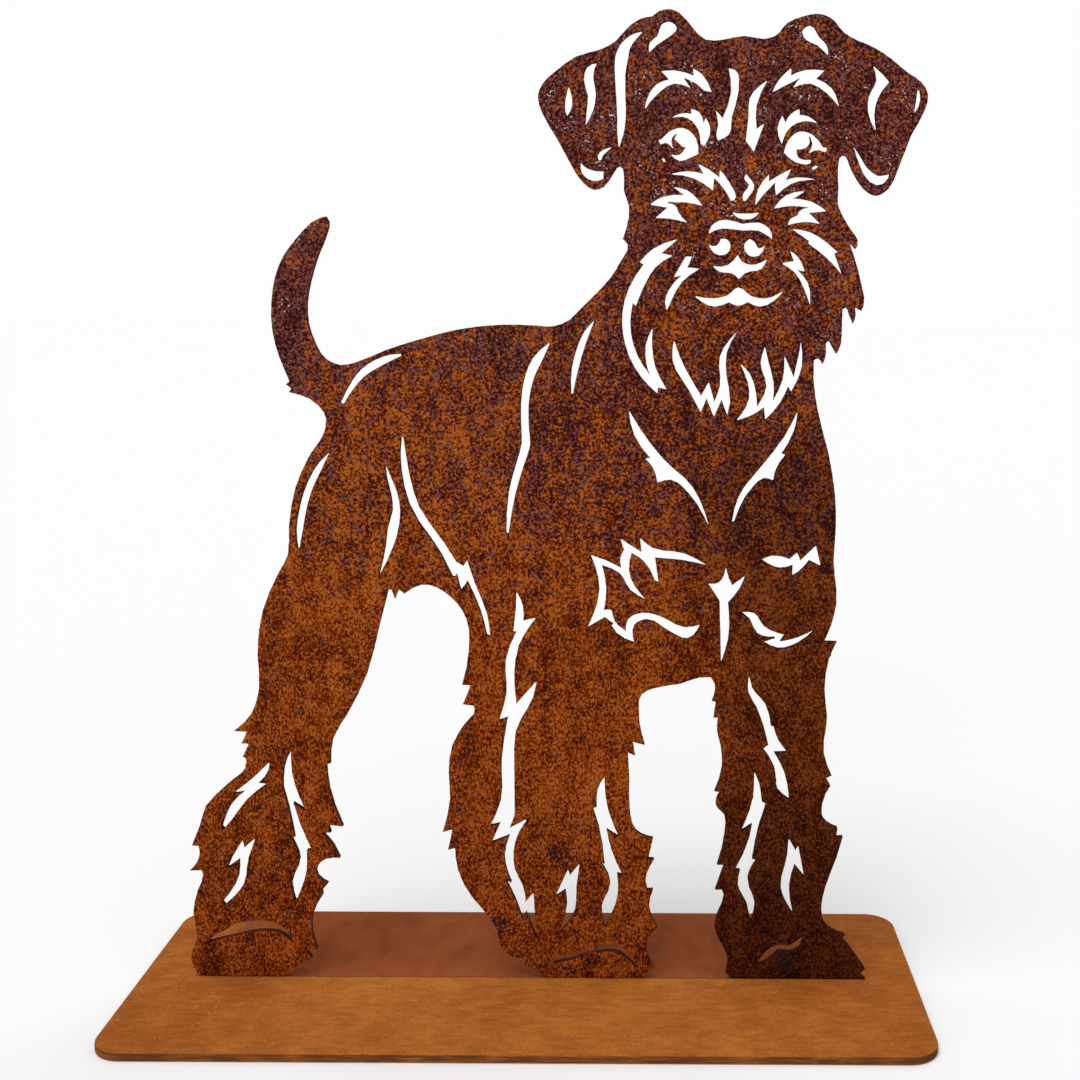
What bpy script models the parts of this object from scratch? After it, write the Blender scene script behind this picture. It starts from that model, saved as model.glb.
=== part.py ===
"""Garden dog cut from sheet steel, welded upright on a rectangular foot plate.

The dog is one flat sheet: a standing rough-haired dog with raised tail, seen from the side with
its head turned to the viewer, whose face, fur and legs are drawn by openings cut right through it.
Metres, +Z up. The origin is the middle of the plate's underside. The dog faces -Y.
"""
import math

import bpy
from mathutils import Vector
from mathutils.geometry import interpolate_bezier

# Driving dimensions, in metres
DOG_HEIGHT = 0.3815
PAW_SPAN = 0.706 * DOG_HEIGHT
DOG_THICKNESS = 0.003
PLATE_THICKNESS = 0.003
PLATE_DEPTH = 0.120
PLATE_MARGIN = 0.0196
PLATE_CORNER_RADIUS = PLATE_DEPTH / 10
SEAT_GAP = 0.0003

# The drawing looks a little down on the dog, so its uprights lean together and would meet below its
# feet, at this column and this many times the dog's height down. The sheet gets them upright again.
MEETING_COLUMN = 480
MEETING_HEIGHTS = 25

# Share of the dog's height that its paws take up
PAW_SHARE = 0.04

# Flat facets follow the strokes, in squares, and turn by at most this angle from one to the next
FACET_STRAY = 0.3
FACET_TURN = math.radians(30)
CORNER_FACETS = 8

# A cut narrower than this, in squares, ends in a single point
POINTED = 0.01

# The dog is drawn by hand on squared paper: columns count to the right and rows count down. Each
# inner list is one smooth stroke of the torch and ends in a sharp corner, where the next stroke
# starts. The first stroke starts where the last one ends, so that every outline closes.
OUTLINE = [
    # Tail, back and neck
    [(328.5, 223), (327, 233), (318, 256), (310, 283), (306.3, 305), (307.5, 325), (313, 342), (324, 360),
     (338, 366.3), (357, 362.5), (385, 351), (420, 339.7), (456, 330.2), (500, 325.2), (535, 325.7),
     (552, 326.7), (569, 320)],
    [(592, 297), (609, 279), (621, 260), (627.2, 245), (622.3, 239)],
    # Left ear
    [(626, 228), (628.6, 207), (623.5, 191), (623.7, 178), (620, 166.7), (613, 175), (604, 187), (594, 190.3),
     (583, 183.5), (571, 166), (557, 140), (542, 114), (537.5, 97), (542, 85), (556, 71.5), (576, 57),
     (600, 50), (615, 42), (628, 27.8), (641, 18.9), (652.5, 16.5)],
    # Crown
    [(660, 11), (670, 9.3), (680, 13), (695, 30), (706, 39.5), (723, 39.5), (745, 35.5), (764, 38.6),
     (775, 35.7), (788, 22), (803, 16), (818, 13.1), (831, 17), (845, 32), (858, 39.7)],
    # Right ear
    [(875, 46.8), (892, 58), (909, 72), (922, 81), (928.7, 93), (926, 108), (912, 134), (898, 170), (889, 188),
     (877, 195), (864, 188), (852, 169), (843, 154.8), (838.5, 168), (839, 187), (838.5, 204), (847, 222),
     (857.8, 245), (855.5, 248.3)],
    # Cheek tufts
    [(850, 242)],
    [(855, 257), (861, 280), (863.8, 305), (861.5, 310)],
    [(855.5, 306.5)],
    [(855, 319), (853, 322.7)],
    [(849, 313), (845.5, 306), (843, 306)],
    [(842.3, 326), (838.5, 350), (836.3, 353)],
    [(832, 346), (828, 340.5), (826, 343)],
    [(824.5, 360), (822.5, 363.3)],
    [(817, 358), (814, 360)],
    # Chest and right foreleg
    [(813.8, 378), (818, 410), (828, 450), (835, 492), (836, 525), (833.5, 560), (836.3, 602), (832, 621),
     (824, 640.5)],
    [(836.5, 640.8)],
    [(828.5, 659), (824.3, 688), (826.8, 716), (823.5, 752), (831.3, 775)],
    [(825.5, 777.5)],
    [(830, 785)],
    [(822, 802), (823, 818), (837, 827.3)],
    [(835.8, 836.3)],
    [(842.3, 836)],
    [(836, 857), (825, 886), (820.7, 908), (823.5, 922), (844.5, 934.7)],
    [(841.5, 937.5)],
    [(851, 949), (864.5, 968.5)],
    [(858.5, 973.7)],
    [(864.5, 978)],
    # Soles of the right forepaw, with the inner side of that leg
    [(731, 978)],
    [(724.3, 973)],
    [(726, 957), (717, 938.5), (712.8, 926), (717, 912), (722.5, 896), (720.5, 889.8)],
    [(713.8, 890)],
    [(722.7, 865)],
    [(715.7, 865)],
    [(723.3, 834), (723, 815), (714.5, 804.5), (718.8, 792)],
    [(713.3, 791.5)],
    [(720.7, 768), (719.5, 746), (716, 731), (717, 718)],
    [(712.5, 717.5)],
    [(715, 702)],
    [(711, 701)],
    [(713.7, 684), (709.5, 677)],
    # Chest line between the forelegs, and the left foreleg
    [(699, 677.5), (679, 684), (652, 688.8), (641, 694.5), (638.2, 712), (643.7, 745)],
    [(638, 744), (631.8, 742)],
    [(634, 756)],
    [(627, 753)],
    [(628.5, 782), (628.7, 810), (634.5, 831), (652, 838.7)],
    [(647.3, 859)],
    [(653, 859.5)],
    [(644.5, 882), (646, 890.3)],
    [(651.8, 890)],
    [(648, 907), (656, 927.5)],
    [(645.3, 943), (652.3, 968)],
    [(640, 978)],
    # Sole of the left forepaw, and the far hind paw that is drawn behind it
    [(546, 978)],
    [(535, 971), (522.3, 966.5)],
    [(527, 958)],
    [(514, 959), (500, 950), (494, 929), (479, 909)],
    [(462, 886), (453.5, 858), (453, 849.5)],
    [(445.7, 851.5)],
    [(450.3, 831)],
    [(440.5, 833.5)],
    [(448, 800), (446.7, 772), (450.5, 746), (461.3, 727.3), (473, 710), (472, 707)],
    [(461, 705.3)],
    [(468.8, 686.5)],
    [(460.3, 686)],
    [(467.3, 650), (465, 620), (450, 598.5), (420, 586), (403.5, 595)],
    # Belly tufts
    [(397.5, 591)],
    [(393.5, 600.3)],
    [(390, 591)],
    [(387, 591)],
    # Hind leg, its paw and the rump
    [(377.5, 628), (365, 676), (345, 717), (330.5, 742), (328.5, 765.5)],
    [(324.5, 766)],
    [(327.5, 791), (341, 828.3)],
    [(326, 827)],
    [(329, 834.5)],
    [(321, 835)],
    [(332, 848), (338, 860)],
    [(319, 864), (314, 873), (326, 885.5)],
    [(320, 892.5)],
    [(320.5, 897.5)],
    [(310, 918), (310, 936), (315, 951)],
    [(304, 952.5)],
    [(309.5, 960.3)],
    [(282, 978)],
    [(211, 978)],
    [(194, 976)],
    [(188.3, 961), (194.3, 938), (190.2, 915), (195, 892), (200.3, 877), (199, 873)],
    [(187, 873.3)],
    [(197, 856), (196, 848.7)],
    [(189, 848)],
    [(197, 828), (203.5, 807.5), (222, 789), (244, 763), (243, 759.5)],
    [(240, 759.3)],
    [(246.3, 746)],
    [(239, 745.8)],
    [(244.5, 734)],
    [(231.5, 733.5)],
    [(249, 715.5), (257, 690), (255.5, 657), (261, 612), (277, 574), (286, 557), (287.3, 528), (294, 489),
     (308, 457), (323, 433), (325, 420), (317, 407), (287.5, 394)],
    [(290, 390)],
    [(284.8, 386)],
    [(288.2, 383)],
    [(279, 361), (271.5, 334), (270.5, 303), (278, 267), (296, 239.5), (320, 219), (325.5, 217.8)],
]

# Cuts that branch or turn sharply, drawn as strokes in the same way
BRANCHED_CUTS = {
    "left ear drop": [
        [(650.5, 42), (658, 35.5), (662, 24.5), (669, 21.3), (677, 27), (668, 37.7), (657, 45), (649.7, 52.5)],
    ],
    "right ear drop": [
        [(826, 52), (818, 44.8), (807, 39.7), (802.8, 32), (811, 24.7), (820, 36), (828, 45), (828.8, 54.7)],
    ],
    "left ear nick": [
        [(604, 149.5), (611, 147.3)],
        [(611, 151)],
        [(602.5, 156), (601, 160.3)],
        [(599, 160.3)],
        [(598, 155.5), (600, 152.5)],
    ],
    "right ear blade": [
        [(877, 66.8), (890, 80.3)],
        [(883, 89), (876.3, 104), (877, 131)],
        [(868.5, 111), (869.5, 96), (877, 80), (873.5, 64.3)],
    ],
    "left brow": [
        [(650, 93), (657, 84), (669, 79.3)],
        [(661.3, 71)],
        [(675, 70), (694, 75)],
        [(693.8, 68)],
        [(703, 74.5), (712, 92)],
        [(704.5, 90.5)],
        [(695, 82.5), (684.3, 78)],
        [(691, 88)],
        [(674, 83.7), (657, 94.5), (645, 109)],
    ],
    "right brow": [
        [(780, 79), (792, 67.3)],
        [(791.7, 74.5)],
        [(807, 69), (825, 69.3)],
        [(817, 77.5)],
        [(832, 86.5), (840, 106.5)],
        [(826, 91.5), (811, 83), (793.7, 87)],
        [(800.3, 77.5)],
        [(783, 86), (773, 91.7)],
    ],
    "left upper lid": [
        [(682, 113), (692, 113.5)],
        [(691.3, 108.5)],
        [(699, 111.5), (704, 123.3)],
        [(706, 117.5)],
        [(710.3, 127), (704, 146)],
        [(701, 143.5)],
        [(698.5, 129), (688, 118), (671.5, 117.7)],
    ],
    "right upper lid": [
        [(786, 121.7)],
        [(792, 113), (800, 108.3)],
        [(800.3, 114)],
        [(809, 115.5), (818.3, 122.7)],
        [(805, 120.3), (791, 126), (782, 143.3)],
        [(778, 128), (783, 115)],
    ],
    "left eye": [
        [(662, 138.7), (669, 131.8), (684, 127.8), (696, 138), (698.3, 153.8)],
        [(690, 157.5), (680, 160.7), (671, 154.3)],
        [(680, 154.5), (685.7, 147.7)],
        [(682.5, 146.5), (678, 142), (674.8, 139), (677.5, 133)],
        [(672.3, 137), (673.3, 148.5)],
        [(665, 142.7), (661, 144.3)],
        [(658.3, 140.5)],
    ],
    "right eye": [
        [(789, 140), (801, 130.6), (814, 134.5), (823.5, 146.3)],
        [(827.7, 147)],
        [(825.5, 151), (820, 149), (809, 152.3)],
        [(813, 143), (809.5, 135.8)],
        [(810, 142), (805, 147.3), (797, 148.7)],
        [(798.5, 156), (811.5, 159)],
        [(811, 161.5), (801, 163), (784.3, 152)],
    ],
    "left bridge line": [
        [(735, 69), (738.7, 90), (732, 116), (729, 134), (718.5, 140)],
        [(717.3, 138), (718.7, 124), (716, 109.7)],
        [(723.2, 117.7)],
        [(731.7, 92), (729, 67.5)],
    ],
    "right bridge line": [
        [(757, 104), (757, 128.3)],
        [(764.3, 123.3)],
        [(754, 151)],
        [(746.2, 140.5)],
        [(749, 117), (750.3, 98), (767.7, 79.7)],
    ],
    "brow spark": [
        [(749, 176.5), (754.3, 184), (748, 197), (743.8, 202.3)],
        [(743, 195), (749.2, 184.3), (744.8, 178), (747, 173.7)],
    ],
    "left upper cheek fan": [
        [(709, 169), (719.7, 176.7)],
        [(720.5, 169.7)],
        [(729, 181), (734, 199.5), (731, 200.3)],
        [(724, 188), (714.3, 177.7)],
        [(713, 190)],
        [(694, 178), (671, 174)],
        [(687, 171), (703.8, 173.5)],
        [(698.3, 163.5)],
    ],
    "left lower cheek fan": [
        [(687, 190), (702.5, 205.3)],
        [(686, 202), (668.5, 202.5)],
        [(676.5, 207), (678, 211.5), (687.3, 222.3)],
        [(670, 218.3), (655.8, 217.7)],
        [(667.7, 207.3)],
        [(650, 204.5)],
        [(663, 196.8), (684, 194.7)],
        [(673.3, 186.7)],
    ],
    "right upper cheek fan": [
        [(778, 175.5), (769.3, 181)],
        [(769.5, 174)],
        [(758.5, 189), (755.5, 204.3)],
        [(764, 193), (774.8, 182.3)],
        [(776.3, 194.7)],
        [(791, 183), (816, 178.7)],
        [(798, 176.6), (786.2, 179.3)],
        [(791.5, 168.3)],
    ],
    "right lower cheek fan": [
        [(787, 194.5), (804.7, 190.5)],
        [(793, 198)],
        [(812, 200.8), (827, 210)],
        [(809.3, 212)],
        [(820.5, 222.8)],
        [(803, 221), (788.3, 224)],
        [(791, 218), (797.7, 215), (799.5, 211), (809, 206.8)],
        [(791, 205), (774.5, 207.7)],
    ],
    "left nostril": [
        [(727, 239), (730.5, 247), (724, 254.3), (714.5, 252.7), (709, 244.7)],
        [(716.5, 245.7), (721, 238.7)],
    ],
    "right nostril": [
        [(754.5, 241), (759, 248), (765, 245)],
        [(759, 254.8), (748, 254), (745, 243), (750.5, 238.7)],
    ],
    "lip groove": [
        [(742, 261), (751, 264.5), (767, 259)],
        [(762, 267.5), (745, 272.3), (738.8, 278.3)],
        [(732.5, 272.7), (720, 271.3), (713, 266)],
        [(728, 265), (738, 254.3)],
    ],
    "mouth": [
        [(713, 298.3), (727, 295.5), (738.5, 287.3), (752, 296), (765, 298.2), (783.3, 290.7)],
        [(774, 300), (760, 305.8), (748, 301.3)],
        [(738, 305), (728.7, 301.5)],
        [(715, 306), (695, 296)],
    ],
    "left cheek and beard line": [
        [(661, 253.3)],
        [(672, 255.5)],
        [(655, 267), (644, 285), (635.5, 305.5)],
        [(632.3, 302.5)],
        [(629.6, 322), (637, 356), (648.7, 374)],
        [(645.8, 345), (652, 328.8)],
        [(651.5, 347), (655, 368), (666, 389)],
        [(657.5, 387.3)],
        [(656.8, 393)],
        [(641, 377), (625, 344), (622.5, 312), (629, 288), (643.7, 264.5)],
        [(640, 262)],
        [(653, 249), (677, 239.3)],
    ],
    "left moustache": [
        [(687, 267.5)],
        [(699, 268.5)],
        [(682, 281), (671, 300), (666.5, 310)],
        [(665, 302), (669, 290), (681.7, 275.2)],
        [(674.2, 276.5)],
        [(686, 256.5)],
        [(691.7, 256.5)],
    ],
    "right cheek line": [
        [(811, 231.8), (827, 241.5), (838, 251)],
        [(834.7, 252.3)],
        [(842, 273)],
        [(826, 256), (808.7, 242.7)],
        [(809.3, 240)],
        [(792.5, 228.3)],
    ],
    "right moustache": [
        [(798, 256), (805, 270.5)],
        [(797.3, 269)],
        [(808, 282), (810.3, 304.5)],
        [(804, 287), (795, 271.5), (781.7, 262.7)],
        [(794.3, 260.5)],
        [(790.3, 250)],
    ],
    "left beard": [
        [(679, 356), (690, 378), (700.7, 396)],
        [(708.5, 382.3)],
        [(714, 402)],
        [(720, 385.5), (720, 356), (737, 331.3)],
        [(726.5, 352), (726, 374), (729.8, 402), (727, 414.5)],
        [(721.5, 399)],
        [(713.7, 416.3)],
        [(706.4, 397.5)],
        [(700.5, 411.7)],
        [(689, 390), (672.5, 360), (673.8, 341)],
    ],
    "right beard": [
        [(750, 374), (756, 394), (757, 406)],
        [(766.5, 386), (760.7, 362), (765, 346.5)],
        [(768.5, 362), (773.5, 382), (773, 400)],
        [(783, 378), (784.5, 355)],
        [(793.8, 376.5)],
        [(799, 354), (801, 340.7)],
        [(802, 365), (791.3, 391)],
        [(788.3, 385.7)],
        [(780, 402), (765.3, 419)],
        [(764, 406.7)],
        [(750, 415.5), (736.5, 420)],
        [(748.8, 399), (740.7, 364)],
    ],
    "left chest chevron": [
        [(640, 430), (663, 459.5), (692, 487), (708, 525)],
        [(690, 495), (671, 480), (657, 482.7)],
        [(653, 468.5), (644.7, 458.8)],
        [(649.3, 457.5)],
        [(634, 435.5), (628.5, 411)],
    ],
    "right chest chevron": [
        [(794, 430), (781.3, 453)],
        [(785.3, 454.3)],
        [(776, 468), (773, 480)],
        [(764, 477.5), (753, 486), (733.5, 521.5)],
        [(731.7, 521)],
        [(738, 497), (762, 465), (784, 436.5), (797.8, 410.5)],
    ],
    "left breast fur": [
        [(606, 561), (620.3, 568)],
        [(620, 557.5), (623.5, 550.3)],
        [(619.7, 539)],
        [(632, 547), (641, 552.3)],
        [(639.7, 538.7)],
        [(651, 547.5), (684, 553.5), (706.3, 565.3)],
        [(680, 560), (654.3, 558)],
        [(657.3, 582.5)],
        [(654.5, 581)],
        [(643, 561.5), (630.5, 553.3)],
        [(627.7, 570), (645.3, 600.3)],
        [(630, 591), (619, 574), (601.3, 566)],
        [(605, 588), (602.7, 610.3)],
        [(610.3, 609.3)],
        [(614, 622), (625, 631.3)],
        [(627.5, 619.5), (642, 612.8), (659, 616.3), (684, 627.2), (699.5, 624.7)],
        [(687, 638.8), (670, 632.5), (645, 619.8), (633, 626), (633.3, 643)],
        [(616, 634), (610.3, 626)],
        [(612.3, 624.3)],
        [(603.5, 618)],
        [(587, 627.7)],
        [(598.7, 590), (590, 555.3)],
    ],
    "right breast zigzag": [
        [(772, 555.2), (789, 558.5)],
        [(796.7, 552)],
        [(800, 560)],
        [(815.7, 545)],
        [(820.3, 565)],
        [(809, 559.7)],
        [(798, 571.5), (792, 575.3)],
        [(792.5, 564.7)],
        [(780, 567.5), (761.7, 559)],
    ],
    "breast cross": [
        [(728, 578), (731.5, 585)],
        [(744.8, 575.3)],
        [(739, 588.5), (727.3, 603)],
        [(727.2, 640), (720.5, 662)],
        [(720, 630), (719.3, 601)],
        [(707.8, 583.5)],
        [(718, 582.5), (725, 567.5)],
    ],
    "right breast curl": [
        [(753, 612.5), (763, 625.7), (784, 634.3)],
        [(779.5, 641)],
        [(796, 637.3), (815.7, 627.8)],
        [(798, 642.3), (778, 648), (763, 641.5)],
        [(774.8, 637.3)],
        [(757, 633), (750, 619.5), (741, 612)],
    ],
    "belly line": [
        [(406.5, 467), (418, 508), (443, 544), (455, 562.7)],
        [(462.5, 567)],
        [(466, 561.7)],
        [(473, 583), (486, 616), (488.7, 637)],
        [(485.7, 636)],
        [(479, 611), (466, 581.7)],
        [(459.5, 590.5)],
        [(455.5, 574.7)],
        [(452, 579)],
        [(440, 555), (408, 505), (399.2, 455), (400.3, 438.3)],
        [(402, 438.3)],
    ],
    "slit between the legs": [
        [(521.5, 606), (522, 621.3)],
        [(534.7, 618.7)],
        [(517, 647), (512.7, 672), (515, 704.8)],
        [(527, 691.5), (535, 682.7)],
        [(531, 699), (514, 732), (512.5, 765), (512.7, 816)],
        [(508, 829)],
        [(527.5, 819)],
        [(513, 843.5), (513, 870), (521, 887), (524, 903)],
        [(531.5, 894.3)],
        [(533, 916), (535, 938.5)],
        [(524.5, 913.5)],
        [(520.5, 919)],
        [(514, 901), (504.3, 881)],
        [(509.7, 884)],
        [(503, 858), (508, 836.7)],
        [(490.5, 843.3)],
        [(498.5, 824.7)],
        [(489, 826.7)],
        [(499, 803), (500, 762), (506.5, 718.3)],
        [(498, 721.3)],
        [(505, 695), (504.3, 662), (515, 633.3)],
        [(512, 633)],
        [(514.5, 611), (515.3, 592.3)],
    ],
    "hind leg upper cut": [
        [(265.5, 773), (256.3, 785)],
        [(264.5, 786)],
        [(243, 803), (229, 822), (221, 831.5)],
        [(219.3, 829)],
        [(228, 808.5), (241.5, 794.2)],
        [(231.3, 796)],
        [(249, 782), (267.5, 764.7)],
    ],
    "hind leg middle cut": [
        [(289.5, 773), (303, 812)],
        [(291, 804.7)],
        [(298, 826.5), (309, 851.3)],
        [(304.3, 852)],
        [(304, 872), (293, 903.3)],
        [(289.3, 886), (297.5, 861), (289.3, 840.3)],
        [(292.5, 839.7)],
        [(286, 808), (280.8, 790)],
        [(284.5, 761), (289, 753)],
    ],
    "hind leg lower cut": [
        [(246, 859), (241, 886), (222, 907.7)],
        [(220, 905)],
        [(235.5, 879), (236.3, 862)],
        [(225, 870)],
        [(229, 861), (240.3, 843)],
        [(241.8, 850.3)],
        [(252.5, 841)],
    ],
    "left foreleg inner cut": [
        [(574.5, 888), (573, 911.5), (556.5, 935)],
        [(565.5, 906), (564, 891)],
        [(553.5, 898)],
        [(566.5, 870.7)],
        [(568.3, 876.3)],
        [(577.7, 865)],
    ],
    "left foreleg outer cut": [
        [(603.7, 796), (617, 837.3)],
        [(605, 830)],
        [(610, 851), (621, 875.7)],
        [(615.5, 874.3)],
        [(616, 896), (603.3, 928.5)],
        [(600.3, 907), (609, 884), (598.7, 862.3)],
        [(603.3, 865)],
        [(597.5, 827), (591.5, 809)],
        [(595.5, 807.8)],
        [(599, 784), (603, 778)],
    ],
    "right foreleg upper cut": [
        [(751, 687), (764.5, 704), (770, 725.3)],
        [(772.5, 726)],
        [(777, 739), (786.3, 751.7)],
        [(773.3, 752.3)],
        [(783.3, 772), (788.3, 799)],
        [(777.5, 789.5), (774, 767), (762.5, 748.3)],
        [(768, 744.3)],
        [(757, 708.5), (748, 692), (748.3, 676.7)],
    ],
    "right foreleg middle cut": [
        [(758, 783), (760.7, 801.3)],
        [(765.3, 803.7)],
        [(757.5, 827), (751, 859)],
        [(755.7, 859.7)],
        [(746.3, 879), (753.5, 904), (749.8, 921.3)],
        [(746.5, 906), (737, 885), (739.2, 870)],
        [(734, 869.7)],
        [(749, 836), (751.3, 824)],
        [(740, 831.3)],
        [(752.5, 796), (753.7, 772)],
    ],
    "right foreleg lower cut": [
        [(794.4, 850.3)],
        [(797.3, 845.7)],
        [(803, 876)],
        [(794, 865)],
        [(788.3, 886), (791.5, 913)],
        [(780, 887), (786.5, 855), (788, 838.7)],
    ],
}

# Plain cuts that taper along a curved middle line: column, row and width of the opening there
TAPERED_CUTS = {
    "left ear long blade": [(643.7, 31.3, 0), (633.5, 37.5, 6.5), (625.5, 46.5, 10), (622, 57, 12.4),
                            (620.2, 76, 9.6), (621, 98, 8.5), (621.6, 118, 7.8), (620.3, 135, 5.3), (619, 147.3, 0)],
    "left ear short blade": [(597.5, 63.5, 0), (590.5, 69.5, 7.5), (588.6, 79, 8.8), (592, 95, 7.6),
                             (590, 110, 6), (585.8, 125, 0)],
    "left ear lens": [(568.5, 87.3, 0), (568.8, 96, 4.8), (568.4, 106, 7), (567.3, 116.5, 0)],
    "left ear crescent": [(580.8, 163.3, 0), (584.5, 171, 6.5), (594.5, 176.2, 9.8), (603.5, 174.8, 6.8),
                          (609.5, 171.5, 0)],
    "right ear lens": [(919.2, 89, 2.2), (919.2, 98, 4.3), (915.3, 111, 0.8)],
    "right ear crescent": [(853.8, 144.3, 0), (858.6, 155, 3.4), (863.5, 165.3, 5.2), (869.3, 173.6, 8.4),
                           (877.8, 179.2, 9.3), (884.5, 177.5, 6.4), (890, 173, 0)],
    "left eye corner": [(662.8, 158.3, 2.2), (664.8, 161.7, 1.6)],
    "right eye corner": [(812.7, 168.3, 2.2), (817.7, 164.8, 2)],
    "nose crescent": [(732.7, 212, 0), (739, 215.2, 4.4), (746, 216, 5.6), (753, 215, 4.4), (759, 211.8, 0)],
    "nose arch": [(709.3, 232.3, 0.8), (713, 228.2, 5), (720, 224.4, 7.8), (728, 223.8, 8.3), (743, 226.7, 6.2),
                  (759, 226, 7.8), (766.8, 230.2, 7), (772.5, 238.5, 0)],
    "neck slit": [(593.5, 321.5, 0), (586.4, 333, 4.8), (579.9, 349, 6.2), (574.3, 370, 5.8), (571.5, 394, 1.2)],
    "hip line": [(400.3, 356, 1.2), (390, 358.8, 5.2), (376, 364.8, 7.6), (362, 374, 7.2), (352.8, 384.5, 5.8),
                 (340.8, 404.8, 3.4)],
    "shoulder line": [(548.7, 343.8, 0.6), (542.5, 352, 5.4), (536, 361.5, 8.8), (529, 376.5, 8.6),
                      (524, 405, 7.4), (524.3, 430, 7.4), (525, 445, 8.2), (519, 465, 7.2), (511, 494, 6.4),
                      (506.3, 534, 2)],
    "rump slit": [(327.3, 454.7, 0.4), (319.5, 466, 5.2), (305.7, 494, 7.2), (300.7, 513, 7.3), (297.7, 532, 6.8),
                  (296.8, 550.3, 1.4)],
    "flank slit": [(383.8, 464.7, 0), (387.6, 479, 4.2), (392.8, 495, 6.4), (395, 512, 7.7), (391, 532, 10.4),
                   (388.2, 546, 7.6), (378, 575.8, 0)],
    "hind paw arch": [(206, 944, 0.8), (214, 939.5, 5.2), (224, 936.3, 7.2), (235, 931.7, 11.6), (247, 929, 10.5),
                      (267, 928.3, 9.6), (277, 931, 6.8), (290.3, 944.3, 0.4)],
    "left forepaw arch, outer half": [(551.7, 964.3, 0), (557.5, 960.3, 4.8), (572, 957, 5.6), (583, 953, 4.6)],
    "left forepaw arch, inner half": [(595.3, 950.3, 7), (608, 948.4, 6.4), (620, 951, 5.6), (628.5, 958.5, 4.6),
                                      (635.5, 968.5, 0)],
    "right forepaw arch": [(756, 963.7, 1), (762.3, 959.2, 6.6), (769, 953, 8), (776.5, 948, 6.3), (788, 948.6, 7),
                           (795.5, 945.3, 7.4), (799, 940.5, 4.4), (812.7, 934.8, 0)],
}

# Weathered steel, and the darker sheet seen from a step away
PLATE_RUST = (0.38, 0.14, 0.045, 1.0)
DOG_RUST = (0.165, 0.052, 0.026, 1.0)
RUST_ROUGHNESS = 0.85
RUST_METALLIC = 0.15


def clear_scene():
    """Empties the scene."""
    for thing in list(bpy.data.objects):
        bpy.data.objects.remove(thing)


def turn_between(first, second):
    """Angle between two directions, or none where one of them has no length."""
    if first.length == 0 or second.length == 0:
        return 0.0
    return first.angle(second)


def smooth_stroke(points):
    """Points along a smooth curve through the given ones, without its first point."""
    handles = []
    for before, here, after in zip(points, points[1:], points[2:]):
        reach_back = (here - before).length
        reach_on = (after - here).length
        heading = ((here - before) / reach_back * reach_on + (after - here) / reach_on * reach_back).normalized()
        handles.append((here - heading * reach_back / 3, here + heading * reach_on / 3))
    path = []
    last = len(points) - 2
    for index, (start, end) in enumerate(zip(points, points[1:])):
        leaving = handles[index - 1][1] if index > 0 else None
        arriving = handles[index][0] if index < last else None
        if leaving is None and arriving is None:
            path.append(end)
            continue
        if leaving is None:
            leaving = start.lerp(arriving, 0.5)
        if arriving is None:
            arriving = end.lerp(leaving, 0.5)
        turn = turn_between(leaving - start, end - start) + turn_between(end - start, end - arriving)
        bulge = (end - start).length * turn / 8
        facets = max(1, math.ceil(turn / FACET_TURN), math.ceil(math.sqrt(bulge / FACET_STRAY)))
        path.extend(interpolate_bezier(start, leaving, arriving, end, facets + 1)[1:])
    return path


def outline_from_strokes(strokes):
    """Closed outline, in squares, of strokes that meet in corners."""
    outline = []
    corner = Vector(strokes[-1][-1])
    for stroke in strokes:
        outline.extend(smooth_stroke([corner] + [Vector(point) for point in stroke]))
        corner = Vector(stroke[-1])
    return outline


def outline_from_middle(middle):
    """Closed outline, in squares, of a cut that widens and narrows along its middle line."""
    points = [Vector(point) for point in middle]
    path = [points[0]] + smooth_stroke(points)
    left = []
    right = []
    for index, here in enumerate(path):
        along = (path[min(index + 1, len(path) - 1)] - path[max(index - 1, 0)]).to_2d().normalized()
        aside = Vector((-along.y, along.x)) * here.z / 2
        left.append(here.to_2d() + aside)
        if here.z > POINTED:
            right.append(here.to_2d() - aside)
    return left + right[::-1]


def on_sheet(outlines):
    """Outlines in squares, the dog's own first, as metres on the sheet from the middle of the soles."""
    rows = [point.y for point in outlines[0]]
    foot_row = max(rows)
    height = foot_row - min(rows)
    paws = [point.x for point in outlines[0] if point.y > foot_row - PAW_SHARE * height]
    middle = (min(paws) + max(paws)) / 2
    reach = MEETING_HEIGHTS * height
    column_width = PAW_SPAN / (max(paws) - min(paws))
    row_height = DOG_HEIGHT / height * (reach + height) / reach
    places = []
    for outline in outlines:
        place = []
        for point in outline:
            above = foot_row - point.y
            lean = reach / (reach + above)
            across = MEETING_COLUMN + (point.x - MEETING_COLUMN) * lean - middle
            place.append((across * column_width, above * lean * row_height))
        places.append(place)
    return places


def rounded_rectangle(width, depth, radius):
    """Outline of a rectangle about the origin, with a quarter circle at each corner."""
    outline = []
    corners = ((1, 1, 0), (-1, 1, 90), (-1, -1, 180), (1, -1, 270))
    for side, end, start_angle in corners:
        centre_x = side * (width / 2 - radius)
        centre_y = end * (depth / 2 - radius)
        for step in range(CORNER_FACETS + 1):
            angle = math.radians(start_angle + 90 * step / CORNER_FACETS)
            outline.append((centre_x + math.cos(angle) * radius, centre_y + math.sin(angle) * radius))
    return outline


def rusty_steel(name, colour):
    """Matt weathered steel."""
    material = bpy.data.materials.new(name)
    material.use_nodes = True
    shader = material.node_tree.nodes["Principled BSDF"]
    shader.inputs["Base Color"].default_value = colour
    shader.inputs["Roughness"].default_value = RUST_ROUGHNESS
    shader.inputs["Metallic"].default_value = RUST_METALLIC
    return material


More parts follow.
